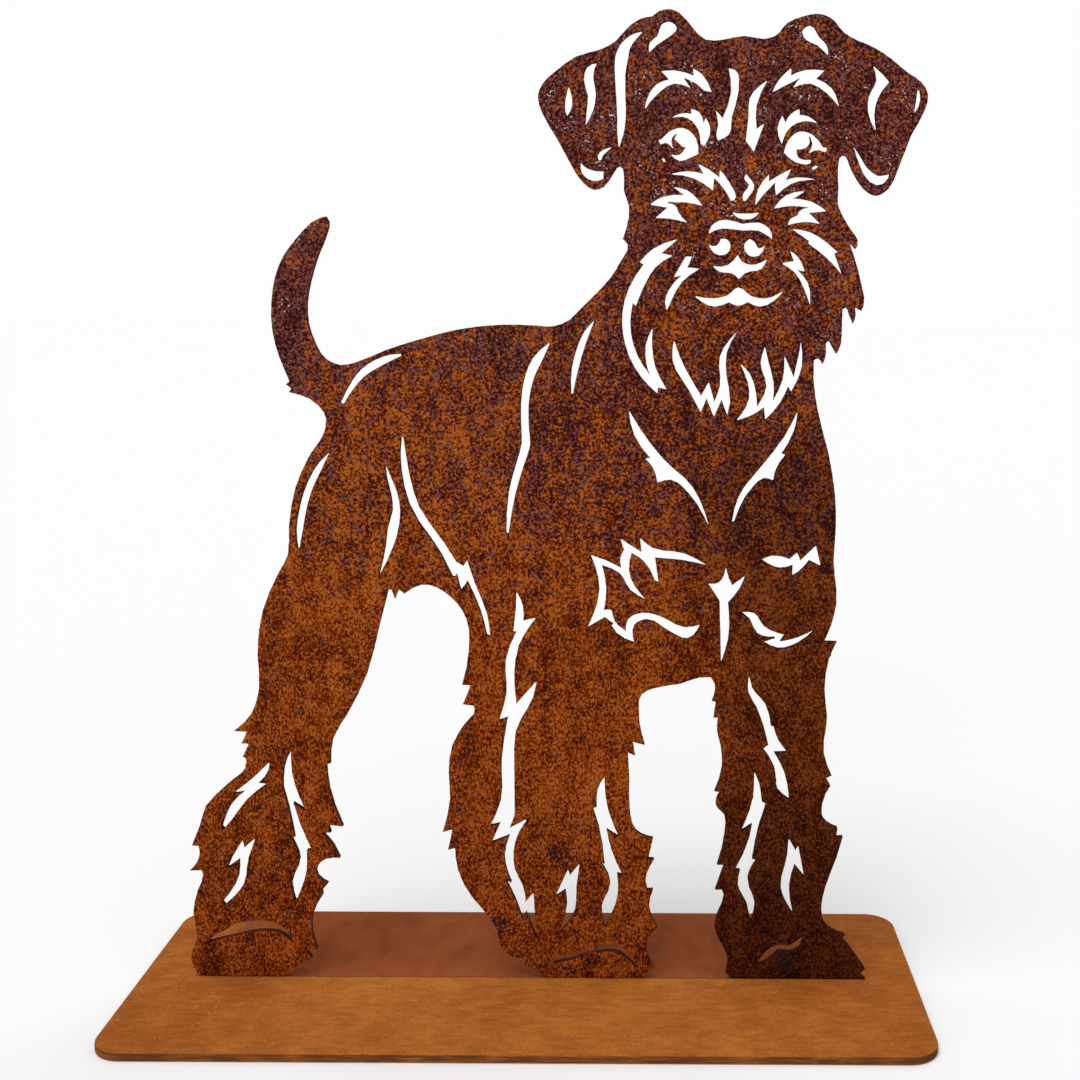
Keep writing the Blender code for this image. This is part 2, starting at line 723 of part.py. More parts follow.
def cut_sheet(name, outlines, thickness, material):
    """A sheet of even thickness with the first outline as its edge and the others cut through it."""
    curve = bpy.data.curves.new(name, "CURVE")
    curve.dimensions = "2D"
    curve.fill_mode = "BOTH"
    curve.extrude = thickness / 2
    curve.materials.append(material)
    for outline in outlines:
        spline = curve.splines.new("POLY")
        spline.points.add(len(outline) - 1)
        for corner, point in zip(spline.points, outline):
            corner.co = (*point, 0.0, 1.0)
        spline.use_cyclic_u = True
    sheet = bpy.data.objects.new(name, curve)
    bpy.context.collection.objects.link(sheet)
    return sheet


def build_dog():
    """The dog, upright over the middle of the plate's depth."""
    outlines = [outline_from_strokes(OUTLINE)]
    outlines += [outline_from_strokes(cut) for cut in BRANCHED_CUTS.values()]
    outlines += [outline_from_middle(cut) for cut in TAPERED_CUTS.values()]
    dog = cut_sheet("dog_silhouette", on_sheet(outlines), DOG_THICKNESS, rusty_steel("coarse rust", DOG_RUST))
    dog.rotation_euler = (math.radians(90), 0, 0)
    dog.location = (0, 0, PLATE_THICKNESS + SEAT_GAP)


def build_plate():
    """The foot plate, lying on the ground and wider than the paws on both sides."""
    outline = rounded_rectangle(PAW_SPAN + 2 * PLATE_MARGIN, PLATE_DEPTH, PLATE_CORNER_RADIUS)
    plate = cut_sheet("base_plate", [outline], PLATE_THICKNESS, rusty_steel("even rust", PLATE_RUST))
    plate.location = (0, 0, PLATE_THICKNESS / 2)


clear_scene()
build_plate()
build_dog()
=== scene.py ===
"""A rusted steel garden dog on its foot plate: a flat sheet cut to a standing dog and welded upright."""

import math
from functools import partial

import bmesh
import bpy
from bpy.props import FloatProperty, FloatVectorProperty, PointerProperty
from mathutils import Matrix, Vector


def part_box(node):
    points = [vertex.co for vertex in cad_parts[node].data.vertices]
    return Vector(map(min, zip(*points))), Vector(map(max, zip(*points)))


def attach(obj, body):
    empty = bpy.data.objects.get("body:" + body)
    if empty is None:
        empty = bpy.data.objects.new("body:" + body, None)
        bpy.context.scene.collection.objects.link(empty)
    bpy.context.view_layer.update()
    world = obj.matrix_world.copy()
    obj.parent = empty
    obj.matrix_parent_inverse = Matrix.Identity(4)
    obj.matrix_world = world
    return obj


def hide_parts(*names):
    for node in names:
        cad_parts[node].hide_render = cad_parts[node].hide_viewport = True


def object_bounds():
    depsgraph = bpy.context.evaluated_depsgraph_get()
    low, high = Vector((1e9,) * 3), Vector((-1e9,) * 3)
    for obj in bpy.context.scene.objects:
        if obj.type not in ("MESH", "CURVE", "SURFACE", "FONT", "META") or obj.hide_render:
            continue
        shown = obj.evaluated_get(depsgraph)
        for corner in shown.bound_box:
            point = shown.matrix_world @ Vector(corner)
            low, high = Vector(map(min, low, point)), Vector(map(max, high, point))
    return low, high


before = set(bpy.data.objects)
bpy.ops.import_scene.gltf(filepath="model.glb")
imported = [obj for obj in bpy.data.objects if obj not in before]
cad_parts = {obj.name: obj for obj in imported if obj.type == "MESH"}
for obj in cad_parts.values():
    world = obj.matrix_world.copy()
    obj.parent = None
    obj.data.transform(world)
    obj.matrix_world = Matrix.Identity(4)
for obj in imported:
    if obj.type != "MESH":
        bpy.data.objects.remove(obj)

bl_info = {
    "name": "Rusted Garden Dog",
    "version": (1, 0, 0),
    "blender": (4, 5, 0),
    "location": "View3D > Sidebar > Garden Dog",
    "description": "Builds a cut-out steel dog on a foot plate, rusted all over",
    "category": "Object",
}

MM = 0.001
CAD_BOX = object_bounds()
SHEET_LOW, SHEET_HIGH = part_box("dog_silhouette")
PLATE_LOW, PLATE_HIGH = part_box("base_plate")
# Points nearer to each other than this are one point of the dog's solid.
MERGE = MM / 200
# A face looks along an axis where its normal's share along it is more than this.
SQUARE_ON = 0.9


def linear(code):
    """Turns an sRGB hex colour into linear red, green and blue."""
    def channel(value):
        return value / 12.92 if value <= 0.04045 else ((value + 0.055) / 1.055) ** 2.4
    code = code.lstrip("#")
    return tuple(channel(int(code[start:start + 2], 16) / 255) for start in (0, 2, 4))


def cells(millimetres):
    """Noise cells per metre for a pattern whose grains are this many millimetres wide."""
    return 1 / (millimetres * MM)


# Sizes and colours that a user would change

class SheetSettings(bpy.types.PropertyGroup):
    edge_round: FloatProperty(
        name="Edge Round", description="Radius that cutting and rust leave on the sheet's edges",
        default=0.22 * MM, min=0, precision=5, unit="LENGTH")
    edge_step: FloatProperty(
        name="Edge Step", description="Longest straight piece of a cut edge before it is roughened",
        default=1.2 * MM, min=0.2 * MM, precision=5, unit="LENGTH")
    grid: FloatProperty(
        name="Face Grid", description="Spacing of the points that carry the unevenness of the faces",
        default=3 * MM, min=MM, precision=5, unit="LENGTH")
    ragged: FloatProperty(
        name="Ragged Edge", description="Depth of the fine bites of rust, which show on the cut edges",
        default=0.16 * MM, min=0, precision=5, unit="LENGTH")
    waviness: FloatProperty(
        name="Waviness", description="Depth of the wide dents in the sheet",
        default=0.10 * MM, min=0, precision=5, unit="LENGTH")


class PlateSettings(bpy.types.PropertyGroup):
    corner: FloatProperty(
        name="Corner Radius", description="Radius of the plate's four corners",
        default=12 * MM, min=0, precision=4, unit="LENGTH")
    edge_round: FloatProperty(
        name="Edge Round", description="Radius on the plate's upper and lower edges",
        default=0.35 * MM, min=0, precision=5, unit="LENGTH")
    waviness: FloatProperty(
        name="Waviness", description="Depth of the wide dents in the plate",
        default=0.12 * MM, min=0, precision=5, unit="LENGTH")


class WeldSettings(bpy.types.PropertyGroup):
    leg: FloatProperty(
        name="Leg", description="Size of the bead against the plate and against the sheet",
        default=2.6 * MM, min=MM, precision=4, unit="LENGTH")
    ripple: FloatProperty(
        name="Ripple Pitch", description="Distance from one ripple of the bead to the next",
        default=1.8 * MM, min=0.5 * MM, precision=4, unit="LENGTH")


def colour_setting(name, description, code):
    """Makes one colour setting whose default is an sRGB hex colour."""
    return FloatVectorProperty(
        name=name, description=description, default=linear(code), size=3, subtype="COLOR", min=0, max=1)


class RustSettings(bpy.types.PropertyGroup):
    warm_pit: colour_setting("Orange Rust Pits", "Deepest grains of the orange rust", "#360a00")
    warm_deep: colour_setting("Orange Rust Deep", "Deeper grains of the orange rust", "#5c1d00")
    warm: colour_setting("Orange Rust", "Most common grains of the orange rust", "#773103")
    warm_high: colour_setting("Orange Rust High", "Higher grains of the orange rust", "#8d410c")
    warm_tip: colour_setting("Orange Rust Tips", "Lightest grains of the orange rust", "#ad5c24")
    cold_pit: colour_setting("Purple Rust Pits", "Deepest grains of the purple rust", "#28090a")
    cold_deep: colour_setting("Purple Rust Deep", "Deeper grains of the purple rust", "#421518")
    cold: colour_setting("Purple Rust", "Most common grains of the purple rust", "#54241f")
    cold_high: colour_setting("Purple Rust High", "Higher grains of the purple rust", "#643026")
    cold_tip: colour_setting("Purple Rust Tips", "Lightest grains of the purple rust", "#7c4a42")
    damp: colour_setting("Damp Side", "What the rust is multiplied by on the dark side", "#8986a6")
    # Pale specks painted as glints of light on the grains' facets.
    painted_glint: colour_setting("Painted Glints", "Glints of light on the grains, painted pale", "#d2bfc0")
    black: colour_setting("Black Scale", "Blue-black rolling scale that still holds", "#1e1922")
    # The cut side's colour is partly its own rust, partly painted shade along the sheet's edges.
    side: colour_setting("Cut Side", "Sides and lips of the cut sheet", "#34160c")
    plate_deep: colour_setting("Plate Rust Deep", "Darker clouds of the plate's even rust", "#8c4c1d")
    plate: colour_setting("Plate Rust", "Most common colour of the plate's even rust", "#a05a23")
    plate_high: colour_setting("Plate Rust High", "Lighter clouds of the plate's even rust", "#b66e2b")
    # The plate behind the sheet is painted redder and darker as the sheet's shadow.
    painted_shadow_deep: colour_setting("Painted Shadow Deep", "Darker clouds of the painted shadow behind the dog", "#6f3a20")
    painted_shadow: colour_setting("Painted Shadow", "Most common colour of the painted shadow behind the dog", "#8a4524")
    painted_shadow_high: colour_setting("Painted Shadow High", "Lighter clouds of the painted shadow behind the dog", "#8d4e2c")
    rim: colour_setting("Plate Edge", "Edges of the plate", "#55301a")
    scratch: colour_setting("Scratches", "Faint scratches and specks on the plate", "#c08a55")


# Hands for modelling

def clear_selection():
    """Leaves nothing selected, because a loaded model and a new primitive come selected."""
    if bpy.context.object and bpy.context.object.mode != "OBJECT":
        bpy.ops.object.mode_set(mode="OBJECT")
    bpy.ops.object.select_all(action="DESELECT")


def work_on(piece):
    """Makes a piece the only selected and active object."""
    clear_selection()
    piece.select_set(True)
    bpy.context.view_layer.objects.active = piece


def start_edit(piece, kind="FACE"):
    """Opens a piece for editing with nothing selected."""
    work_on(piece)
    bpy.ops.object.mode_set(mode="EDIT")
    bpy.ops.mesh.select_mode(type=kind)
    bpy.ops.mesh.select_all(action="DESELECT")


def pick(piece, kind, test):
    """Selects in edit mode only the verts, edges or faces that pass a test."""
    bpy.ops.mesh.select_all(action="DESELECT")
    mesh = bmesh.from_edit_mesh(piece.data)
    for item in getattr(mesh, kind):
        if test(item):
            item.select_set(True)
    bmesh.update_edit_mesh(piece.data)


def end_edit():
    """Closes the piece that is open for editing."""
    bpy.ops.object.mode_set(mode="OBJECT")


def name_piece(name):
    """Names the active object and its mesh, and puts its place and size in the mesh."""
    piece = bpy.context.object
    piece.name = name
    piece.data.name = name
    bpy.ops.object.transform_apply(location=True, rotation=True, scale=True)
    return piece


def apply_all(piece):
    """Applies a piece's modifiers from first to last."""
    work_on(piece)
    for name in [modifier.name for modifier in piece.modifiers]:
        bpy.ops.object.modifier_apply(modifier=name)


def roughen(piece, name, depth, width):
    """Sinks a piece's surface by up to a depth, in cloudy dents of a width."""
    if depth <= 0:
        return
    clouds = bpy.data.textures.new(name, "CLOUDS")
    clouds.noise_scale = width
    clouds.noise_depth = 2
    sink = piece.modifiers.new(name, "DISPLACE")
    sink.texture = clouds
    sink.texture_coords = "LOCAL"
    sink.mid_level = 1.0
    sink.strength = depth


def cut_grid(step, low, high):
    """Cuts the open piece into squares a step wide, seen from above, so that it can take fine dents."""
    for axis in (0, 1):
        normal = Vector((0, 0, 0))
        normal[axis] = 1
        count = math.floor((high[axis] - low[axis]) / step)
        for cut in range(1, count + 1):
            place = low.copy()
            place[axis] += cut * step
            bpy.ops.mesh.select_all(action="SELECT")
            bpy.ops.mesh.bisect(plane_co=place, plane_no=normal)


# The dog

# Each step of a rounded rim goes in from the cut and out of the sheet by these shares of the rim's radius.
RIM_STEPS = ((0.3, 0.7), (0.7, 0.3))
# How often the outline's edges are halved while they are longer than the edge step.
HALVINGS = 5
# Points nearer to each other than this are one point once the slab is cut.
SLIVER = 0.05 * MM
# The slab's grid reaches past the dog by half this many squares on each side.
SPARE_SQUARES = 2
DENT_WIDTH = 9 * MM
BITE_WIDTH = 1.4 * MM
SHEET_SMOOTH = math.radians(35)


def faces_front(face):
    """Tells whether a face is part of the sheet's front."""
    return face.normal.y < -SQUARE_ON


def faces_back(face):
    """Tells whether a face is part of the sheet's back."""
    return face.normal.y > SQUARE_ON


def on_rim(edge):
    """Tells whether an edge runs between the sheet's front or back and its cut side."""
    return sum(faces_front(face) or faces_back(face) for face in edge.link_faces) == 1


def round_rim(piece, test, outward, radius):
    """Rounds the rim of the front or back: the face sinks, then comes back out in two narrow steps."""
    pick(piece, "faces", test)
    bpy.ops.transform.translate(value=(0, -outward * radius, 0))
    for inset, rise in RIM_STEPS:
        bpy.ops.mesh.inset(
            thickness=inset * radius, depth=rise * radius,
            use_boundary=True, use_even_offset=False, use_relative_offset=False)


def keep_between_faces(piece):
    """Brings points back to the sheet's faces where two cuts all but meet and their rims' steps pile up."""
    bpy.ops.mesh.select_mode(type="VERT")
    for side, face in ((-1, SHEET_LOW.y), (1, SHEET_HIGH.y)):
        pick(piece, "verts", lambda vert: vert.co.y * side > face * side)
        bpy.ops.transform.resize(value=(1, 0, 1), center_override=(0, face, 0))


def copy_outline(name, spread, step):
    """Copies the dog's solid, deeper by a spread at front and back and with short steps along its edges."""
    outline = bpy.data.objects.new(name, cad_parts["dog_silhouette"].data.copy())
    bpy.context.collection.objects.link(outline)
    start_edit(outline)
    bpy.ops.mesh.select_all(action="SELECT")
    bpy.ops.mesh.remove_doubles(threshold=MERGE)
    # The triangles of the cut side are joined in pairs.
    pick(outline, "faces", lambda face: not faces_front(face) and not faces_back(face))
    bpy.ops.mesh.tris_convert_to_quads(face_threshold=math.radians(0.1), shape_threshold=math.pi)
    # The soles come down through the gap that the solids keep, onto the plate.
    bpy.ops.mesh.select_mode(type="VERT")
    pick(outline, "verts", lambda vert: vert.co.z < SHEET_LOW.z + MERGE)
    bpy.ops.transform.translate(value=(0, 0, PLATE_HIGH.z - SHEET_LOW.z))
    for side in (-1, 1):
        pick(outline, "verts", lambda vert: vert.co.y * side > 0)
        bpy.ops.transform.translate(value=(0, side * spread, 0))
    bpy.ops.mesh.select_mode(type="EDGE")
    for halving in range(HALVINGS):
        pick(outline, "edges", lambda edge: edge.calc_length() > step and on_rim(edge))
        bpy.ops.mesh.subdivide(number_cuts=1)
    end_edit()
    return outline


class GARDENDOG_OT_sheet(bpy.types.Operator):
    """Builds the dog from a gridded slab cut to its outline, with rust-eaten edges and uneven faces"""
    bl_idname = "gardendog.sheet"
    bl_label = "Dog Sheet"
    bl_options = {"REGISTER", "UNDO"}

    def execute(self, context):
        settings = context.scene.garden_dog_sheet
        outline = copy_outline("sheet_outline", settings.grid, settings.edge_step)
        clear_selection()
        size = SHEET_HIGH - SHEET_LOW
        columns = math.ceil(size.x / settings.grid) + SPARE_SQUARES
        rows = math.ceil(size.z / settings.grid) + SPARE_SQUARES
        bpy.ops.mesh.primitive_grid_add(
            x_subdivisions=columns, y_subdivisions=rows, size=1,
            location=((SHEET_LOW.x + SHEET_HIGH.x) / 2, SHEET_LOW.y, (SHEET_LOW.z + SHEET_HIGH.z) / 2),
            rotation=(math.radians(90), 0, 0))
        context.object.scale = (columns * settings.grid, rows * settings.grid, 1)
        piece = name_piece("rusted_dog")
        start_edit(piece)
        bpy.ops.mesh.select_all(action="SELECT")
        bpy.ops.mesh.extrude_region_move(TRANSFORM_OT_translate={"value": (0, size.y, 0)})
        bpy.ops.mesh.select_all(action="SELECT")
        bpy.ops.mesh.normals_make_consistent(inside=False)
        end_edit()
        cut = piece.modifiers.new("cut_to_outline", "BOOLEAN")
        cut.operation = "INTERSECT"
        cut.object = outline
        apply_all(piece)
        bpy.data.objects.remove(outline)

        start_edit(piece)
        bpy.ops.mesh.select_all(action="SELECT")
        bpy.ops.mesh.remove_doubles(threshold=SLIVER)
        round_rim(piece, faces_front, -1, settings.edge_round)
        round_rim(piece, faces_back, 1, settings.edge_round)
        keep_between_faces(piece)
        end_edit()
        roughen(piece, "sheet_waviness", settings.waviness, DENT_WIDTH)
        roughen(piece, "sheet_ragged", settings.ragged, BITE_WIDTH)
        apply_all(piece)
        start_edit(piece)
        keep_between_faces(piece)
        end_edit()
        bpy.ops.object.shade_smooth_by_angle(angle=SHEET_SMOOTH)

        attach(piece, "root")
        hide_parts("dog_silhouette")
        piece.data.materials.append(shared_finish(coarse_rust, context.scene.garden_dog_rust))
        return {"FINISHED"}


# The foot plate

PLATE_GRID = 6 * MM
PLATE_DENT_WIDTH = 25 * MM
PLATE_SMOOTH = math.radians(40)


class GARDENDOG_OT_plate(bpy.types.Operator):
    """Builds the foot plate with its round corners, soft edges and slight waviness"""
    bl_idname = "gardendog.plate"
    bl_label = "Foot Plate"
    bl_options = {"REGISTER", "UNDO"}

    def execute(self, context):
        settings = context.scene.garden_dog_plate
        clear_selection()
        size = PLATE_HIGH - PLATE_LOW
        bpy.ops.mesh.primitive_cube_add(size=1, location=(PLATE_HIGH + PLATE_LOW) / 2, scale=size)
        piece = name_piece("foot_plate")
        start_edit(piece, "EDGE")
        pick(piece, "edges", lambda edge: abs(edge.verts[0].co.z - edge.verts[1].co.z) > size.z / 2)
        bpy.ops.mesh.bevel(offset=settings.corner, segments=12, affect="EDGES")
        bpy.ops.mesh.select_mode(type="EDGE")
        pick(piece, "edges", lambda edge: sum(
            abs(face.normal.z) > SQUARE_ON for face in edge.link_faces) == 1)
        bpy.ops.mesh.bevel(offset=settings.edge_round, segments=3, affect="EDGES")
        bpy.ops.mesh.select_mode(type="FACE")
        cut_grid(PLATE_GRID, PLATE_LOW, PLATE_HIGH)
        end_edit()
        roughen(piece, "plate_waviness", settings.waviness, PLATE_DENT_WIDTH)
        apply_all(piece)
        bpy.ops.object.shade_smooth_by_angle(angle=PLATE_SMOOTH)
        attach(piece, "root")
        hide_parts("base_plate")
        piece.data.materials.append(shared_finish(even_rust, context.scene.garden_dog_rust))
        return {"FINISHED"}


# The welds

# Each bead lies behind a paw: its name, its middle across the plate and its length, in millimetres.
WELD_BEADS = (("weld_hind", -112, 26), ("weld_middle", 24, 30), ("weld_front", 106, 30))
# How deep the bead bites into the sheet and the plate.
WELD_SINK = 0.15 * MM
BEAD_SIDES = 24
RINGS_PER_RIPPLE = 4
# Radius of the bead's ends as a share of its leg, and what each ring adds to that share up to the full leg.
BEAD_END = 0.45
BEAD_SWELL = 0.09
# Share of its radius that a ripple loses along its length.
RIPPLE_FALL = 0.16
BEAD_SMOOTH = math.radians(50)


class GARDENDOG_OT_welds(bpy.types.Operator):
    """Lays a short rippled weld bead behind each paw, in the corner between the sheet and the plate"""
    bl_idname = "gardendog.welds"
    bl_label = "Weld Beads"
    bl_options = {"REGISTER", "UNDO"}

    def execute(self, context):
        settings = context.scene.garden_dog_weld
        back = SHEET_HIGH.y - WELD_SINK
        top = PLATE_HIGH.z - WELD_SINK
        for name, middle, length in WELD_BEADS:
            clear_selection()
            start = (middle - length / 2) * MM
            bpy.ops.mesh.primitive_circle_add(
                vertices=BEAD_SIDES, radius=settings.leg * BEAD_END, fill_type="NGON",
                location=(start, back, top), rotation=(0, math.radians(90), 0))
            piece = name_piece(name)
            start_edit(piece)
            bpy.ops.mesh.select_all(action="SELECT")
            step = settings.ripple / RINGS_PER_RIPPLE
            rings = round(length * MM / step)
            last = BEAD_END
            for ring in range(1, rings + 1):
                # The bead swells from its ends, and each ripple rises at once and falls off slowly.
                swell = min(1, BEAD_END + BEAD_SWELL * min(ring, rings - ring))
                size = swell * (1 - RIPPLE_FALL * (ring % RINGS_PER_RIPPLE) / RINGS_PER_RIPPLE)
                bpy.ops.mesh.extrude_region_move(TRANSFORM_OT_translate={"value": (step, 0, 0)})
                bpy.ops.transform.resize(value=(1, size / last, size / last), center_override=(0, back, top))
                last = size
            for normal in ((0, -1, 0), (0, 0, -1)):
                bpy.ops.mesh.select_all(action="SELECT")
                bpy.ops.mesh.bisect(
                    plane_co=(0, back, top), plane_no=normal, use_fill=True, clear_outer=True)
            bpy.ops.mesh.select_all(action="SELECT")
            bpy.ops.mesh.normals_make_consistent(inside=False)
            end_edit()
            bpy.ops.object.shade_smooth_by_angle(angle=BEAD_SMOOTH)
            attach(piece, "root")
            piece.data.materials.append(shared_finish(coarse_rust, context.scene.garden_dog_rust))
        return {"FINISHED"}


# Materials

# Nodes stand in rows: how many in each, and how far apart they are across and down.
NODES_IN_ROW = 12
NODE_ACROSS = 220
NODE_DOWN = 260


def add_node(tree, kind, settings=None, inputs=None, stops=(), output=0):
    """Adds one node with its settings, inputs (filled or linked) and ramp stops, and gives one output."""
    node = tree.nodes.new(kind)
    row, column = divmod(len(tree.nodes), NODES_IN_ROW)
    node.location = (NODE_ACROSS * column, -NODE_DOWN * row)
    for name, value in (settings or {}).items():
        setattr(node, name, value)
    for name, value in (inputs or {}).items():
        if isinstance(value, bpy.types.NodeSocket):
            tree.links.new(value, node.inputs[name])
        else:
            node.inputs[name].default_value = value
    for number, (position, colour) in enumerate(stops):
        ramp = node.color_ramp.elements
        stop = ramp[number] if number < 2 else ramp.new(position)
        stop.position = position
        stop.color = (*colour, 1)
    return None if output is None else node.outputs[output]


def empty_material(name):
    """Starts a material with no nodes, and gives it with the function that adds a node to it."""
    material = bpy.data.materials.new(name)
    material.use_nodes = True
    material.node_tree.nodes.clear()
    return material, partial(add_node, material.node_tree)


# Settings that many nodes share.
SMOOTH = {"interpolation_type": "SMOOTHSTEP"}
TIMES = {"operation": "MULTIPLY"}
PLUS = {"operation": "ADD"}
TIMES_PLUS = {"operation": "MULTIPLY_ADD"}
SIZE_OF = {"operation": "ABSOLUTE"}
COAT = {"data_type": "RGBA"}

# Zones of the dog's rust that lie across or up it: where each starts and where it is full, in millimetres.
BANDS = (
    ("head", "up", 215, 325),
    ("tail across", "across", -70, -100),
    ("tail up", "up", 205, 240),
    ("rain", "up", 205, 120),
    ("damp across", "across", 50, 85),
    ("damp up", "up", 250, 205),
    ("lower legs", "up", 90, 50),
)
# Round zones: middle across and up, and how far from it each starts and is full, in millimetres.
PATCHES = (("muzzle", 82, 300, 56, 20), ("flank", -62, 192, 85, 30), ("throat", 60, 262, 55, 25))
# The borders of the zones wander by at most this many millimetres each way, in clouds of this width.
WANDER = 30
WANDER_WIDTH = 22
# How far the streaks take over where rain runs, and how far the clusters do everywhere.
STREAK_SHARE = 0.5
CLUSTER_SHARE = 0.18
# What each zone adds to the pattern of purple islands.
PURPLE = (
    ("scale", 0.065), ("tail", 0.05), ("rain", -0.10), ("muzzle", -0.05), ("flank", -0.03), ("ground", -0.22))
# What each zone adds to the lightness of the grains, counted from a start.
LIGHT = (("ground", 0.16), ("flank", 0.014), ("throat", -0.012))
LIGHT_START = -0.077
# Tones of the pits and the tips, and then of the deep, common and high grains between them.
RUST_STEPS = (0.44, 0.585, 0.475, 0.50, 0.525)
# Blue-black rolling scale that still holds on the lower legs: across, up and half width, in millimetres.
SCALE_SPOTS = (
    (-11.7, 24.4, 5.5), (10.0, 54.0, 4.5), (25.3, 10.5, 4.0), (16.6, 6.5, 3.5), (101.8, 9.3, 4.5))
# Shares of a spot's half width where it starts and where it is full, and what it adds to the broken pattern.
SPOT_START = 1.4
SPOT_FULL = 0.2
SPOT_WEIGHT = 0.15


def coarse_rust(colours):
    """Coarse rust on hot-rolled mild steel sheet, grown outdoors on the bare cut metal.

    It grows as crystals and flakes, so the eye sees a matt skin of dark and light grains, purple where
    the rolling scale still holds, orange where rain runs down the legs.
    """
    material, node = empty_material("coarse_rust_on_mild_steel")
    place = node("ShaderNodeTexCoord", output="Object")
    wander = node("ShaderNodeTexNoise", {}, {
        "Vector": place, "Scale": cells(WANDER_WIDTH), "Detail": 3, "Roughness": 0.6}, output="Color")
    shifted = node("ShaderNodeVectorMath", TIMES_PLUS, {0: wander, 1: (2 * WANDER * MM,) * 3, 2: place})
    shifted = node("ShaderNodeVectorMath", {"operation": "SUBTRACT"}, {0: shifted, 1: (WANDER * MM,) * 3})
    way = {
        "across": node("ShaderNodeSeparateXYZ", {}, {"Vector": shifted}, output="X"),
        "up": node("ShaderNodeSeparateXYZ", {}, {"Vector": shifted}, output="Z")}
    zone = {}
    for name, along, start, full in BANDS:
        zone[name] = node("ShaderNodeMapRange", SMOOTH, {
            "Value": way[along], "From Min": start * MM, "From Max": full * MM})
    for name, across, up, start, full in PATCHES:
        away = node("ShaderNodeVectorMath", {"operation": "DISTANCE"}, {
            0: shifted, 1: (across * MM, 0, up * MM)}, output="Value")
        zone[name] = node("ShaderNodeMapRange", SMOOTH, {
            "Value": away, "From Min": start * MM, "From Max": full * MM})
    zone["tail"] = node("ShaderNodeMath", TIMES, {0: zone["tail across"], 1: zone["tail up"]})
    # Rolling scale holds best on head and tail.
    zone["scale"] = node("ShaderNodeMath", {"operation": "MAXIMUM"}, {0: zone["head"], 1: zone["tail"]})
    # The damp side darkens towards the paw.
    lower = node("ShaderNodeMapRange", SMOOTH, {
        "Value": way["up"], "From Min": 130 * MM, "From Max": 20 * MM, "To Min": 0.6, "To Max": 1.0})
    damp = node("ShaderNodeMath", TIMES, {0: zone["damp across"], 1: zone["damp up"]})
    damp = node("ShaderNodeMath", TIMES, {0: damp, 1: lower})

    # Grains 1.2 mm wide and finer, streaks 0.7 mm wide where rain runs, and clusters 4.5 mm wide.
    # Real grains are finer still, and these are drawn as coarse as they need to show.
    grain = node("ShaderNodeTexNoise", {}, {
        "Vector": place, "Scale": cells(1.2), "Detail": 3, "Roughness": 0.75})
    tall = node("ShaderNodeMapping", {}, {"Vector": place, "Scale": (1, 1, 0.5)})
    runs = node("ShaderNodeTexNoise", {}, {
        "Vector": tall, "Scale": cells(0.7), "Detail": 2, "Roughness": 0.7})
    clusters = node("ShaderNodeTexNoise", {}, {
        "Vector": place, "Scale": cells(4.5), "Detail": 4, "Roughness": 0.6})
    wet = node("ShaderNodeMath", TIMES, {0: zone["rain"], 1: STREAK_SHARE})
    tone = node("ShaderNodeMix", {}, {"Factor": wet, "A": grain, "B": runs})
    tone = node("ShaderNodeMix", {}, {"Factor": CLUSTER_SHARE, "A": tone, "B": clusters})
    # Drips 10 mm wide and three times as tall leave some ground darker and some lighter.
    # The flank is lighter too, and the throat darker.
    drips = node("ShaderNodeMapping", {}, {"Vector": place, "Scale": (1, 1, 0.33)})
    zone["ground"] = node("ShaderNodeTexNoise", {}, {
        "Vector": drips, "Scale": cells(10), "Detail": 5, "Roughness": 0.65})
    light = LIGHT_START
    for name, share in LIGHT:
        light = node("ShaderNodeMath", TIMES_PLUS, {0: zone[name], 1: share, 2: light})
    shaded = node("ShaderNodeMath", PLUS, {0: tone, 1: light})

    # Orange grains everywhere and purple ones between them, most on ears and tail, hardly any on the legs.
    # Down the muzzle and on the flank the rust stays orange.
    warm = node("ShaderNodeValToRGB", {}, {"Fac": shaded}, tuple(zip(RUST_STEPS, (
        colours.warm_pit, colours.warm_tip, colours.warm_deep, colours.warm, colours.warm_high))))
    cold = node("ShaderNodeValToRGB", {}, {"Fac": shaded}, tuple(zip(RUST_STEPS, (
        colours.cold_pit, colours.cold_tip, colours.cold_deep, colours.cold, colours.cold_high))))
    islands = node("ShaderNodeTexNoise", {}, {
        "Vector": place, "Scale": cells(3.5), "Detail": 5, "Roughness": 0.8})
    for name, share in PURPLE:
        islands = node("ShaderNodeMath", TIMES_PLUS, {0: zone[name], 1: share, 2: islands})
    islands = node("ShaderNodeMapRange", SMOOTH, {"Value": islands, "From Min": 0.36, "From Max": 0.42})
    colour = node("ShaderNodeMix", COAT, {"Factor": islands, 6: warm, 7: cold}, output=2)
    colour = node("ShaderNodeMix", {"data_type": "RGBA", "blend_type": "MULTIPLY"}, {
        "Factor": damp, 6: colour, 7: (*colours.damp, 1)}, output=2)

    # Painted glints: pale specks stand for light catching the grains' facets, in herds 14 mm wide, on head
    # and tail.
    painted_glint = node("ShaderNodeTexNoise", {}, {
        "Vector": place, "Scale": cells(0.9), "Detail": 1, "Roughness": 0.5})
    painted_glint = node("ShaderNodeMapRange", SMOOTH, {"Value": painted_glint, "From Min": 0.67, "From Max": 0.71})
    herd = node("ShaderNodeTexNoise", {}, {
        "Vector": place, "Scale": cells(14), "Detail": 3, "Roughness": 0.6})
    herd = node("ShaderNodeMapRange", SMOOTH, {"Value": herd, "From Min": 0.48, "From Max": 0.62})
    herd = node("ShaderNodeMath", TIMES, {0: herd, 1: zone["scale"]})
    painted_glint = node("ShaderNodeMath", TIMES, {0: painted_glint, 1: herd})
    colour = node("ShaderNodeMix", COAT, {"Factor": painted_glint, 6: colour, 7: (*colours.painted_glint, 1)}, output=2)

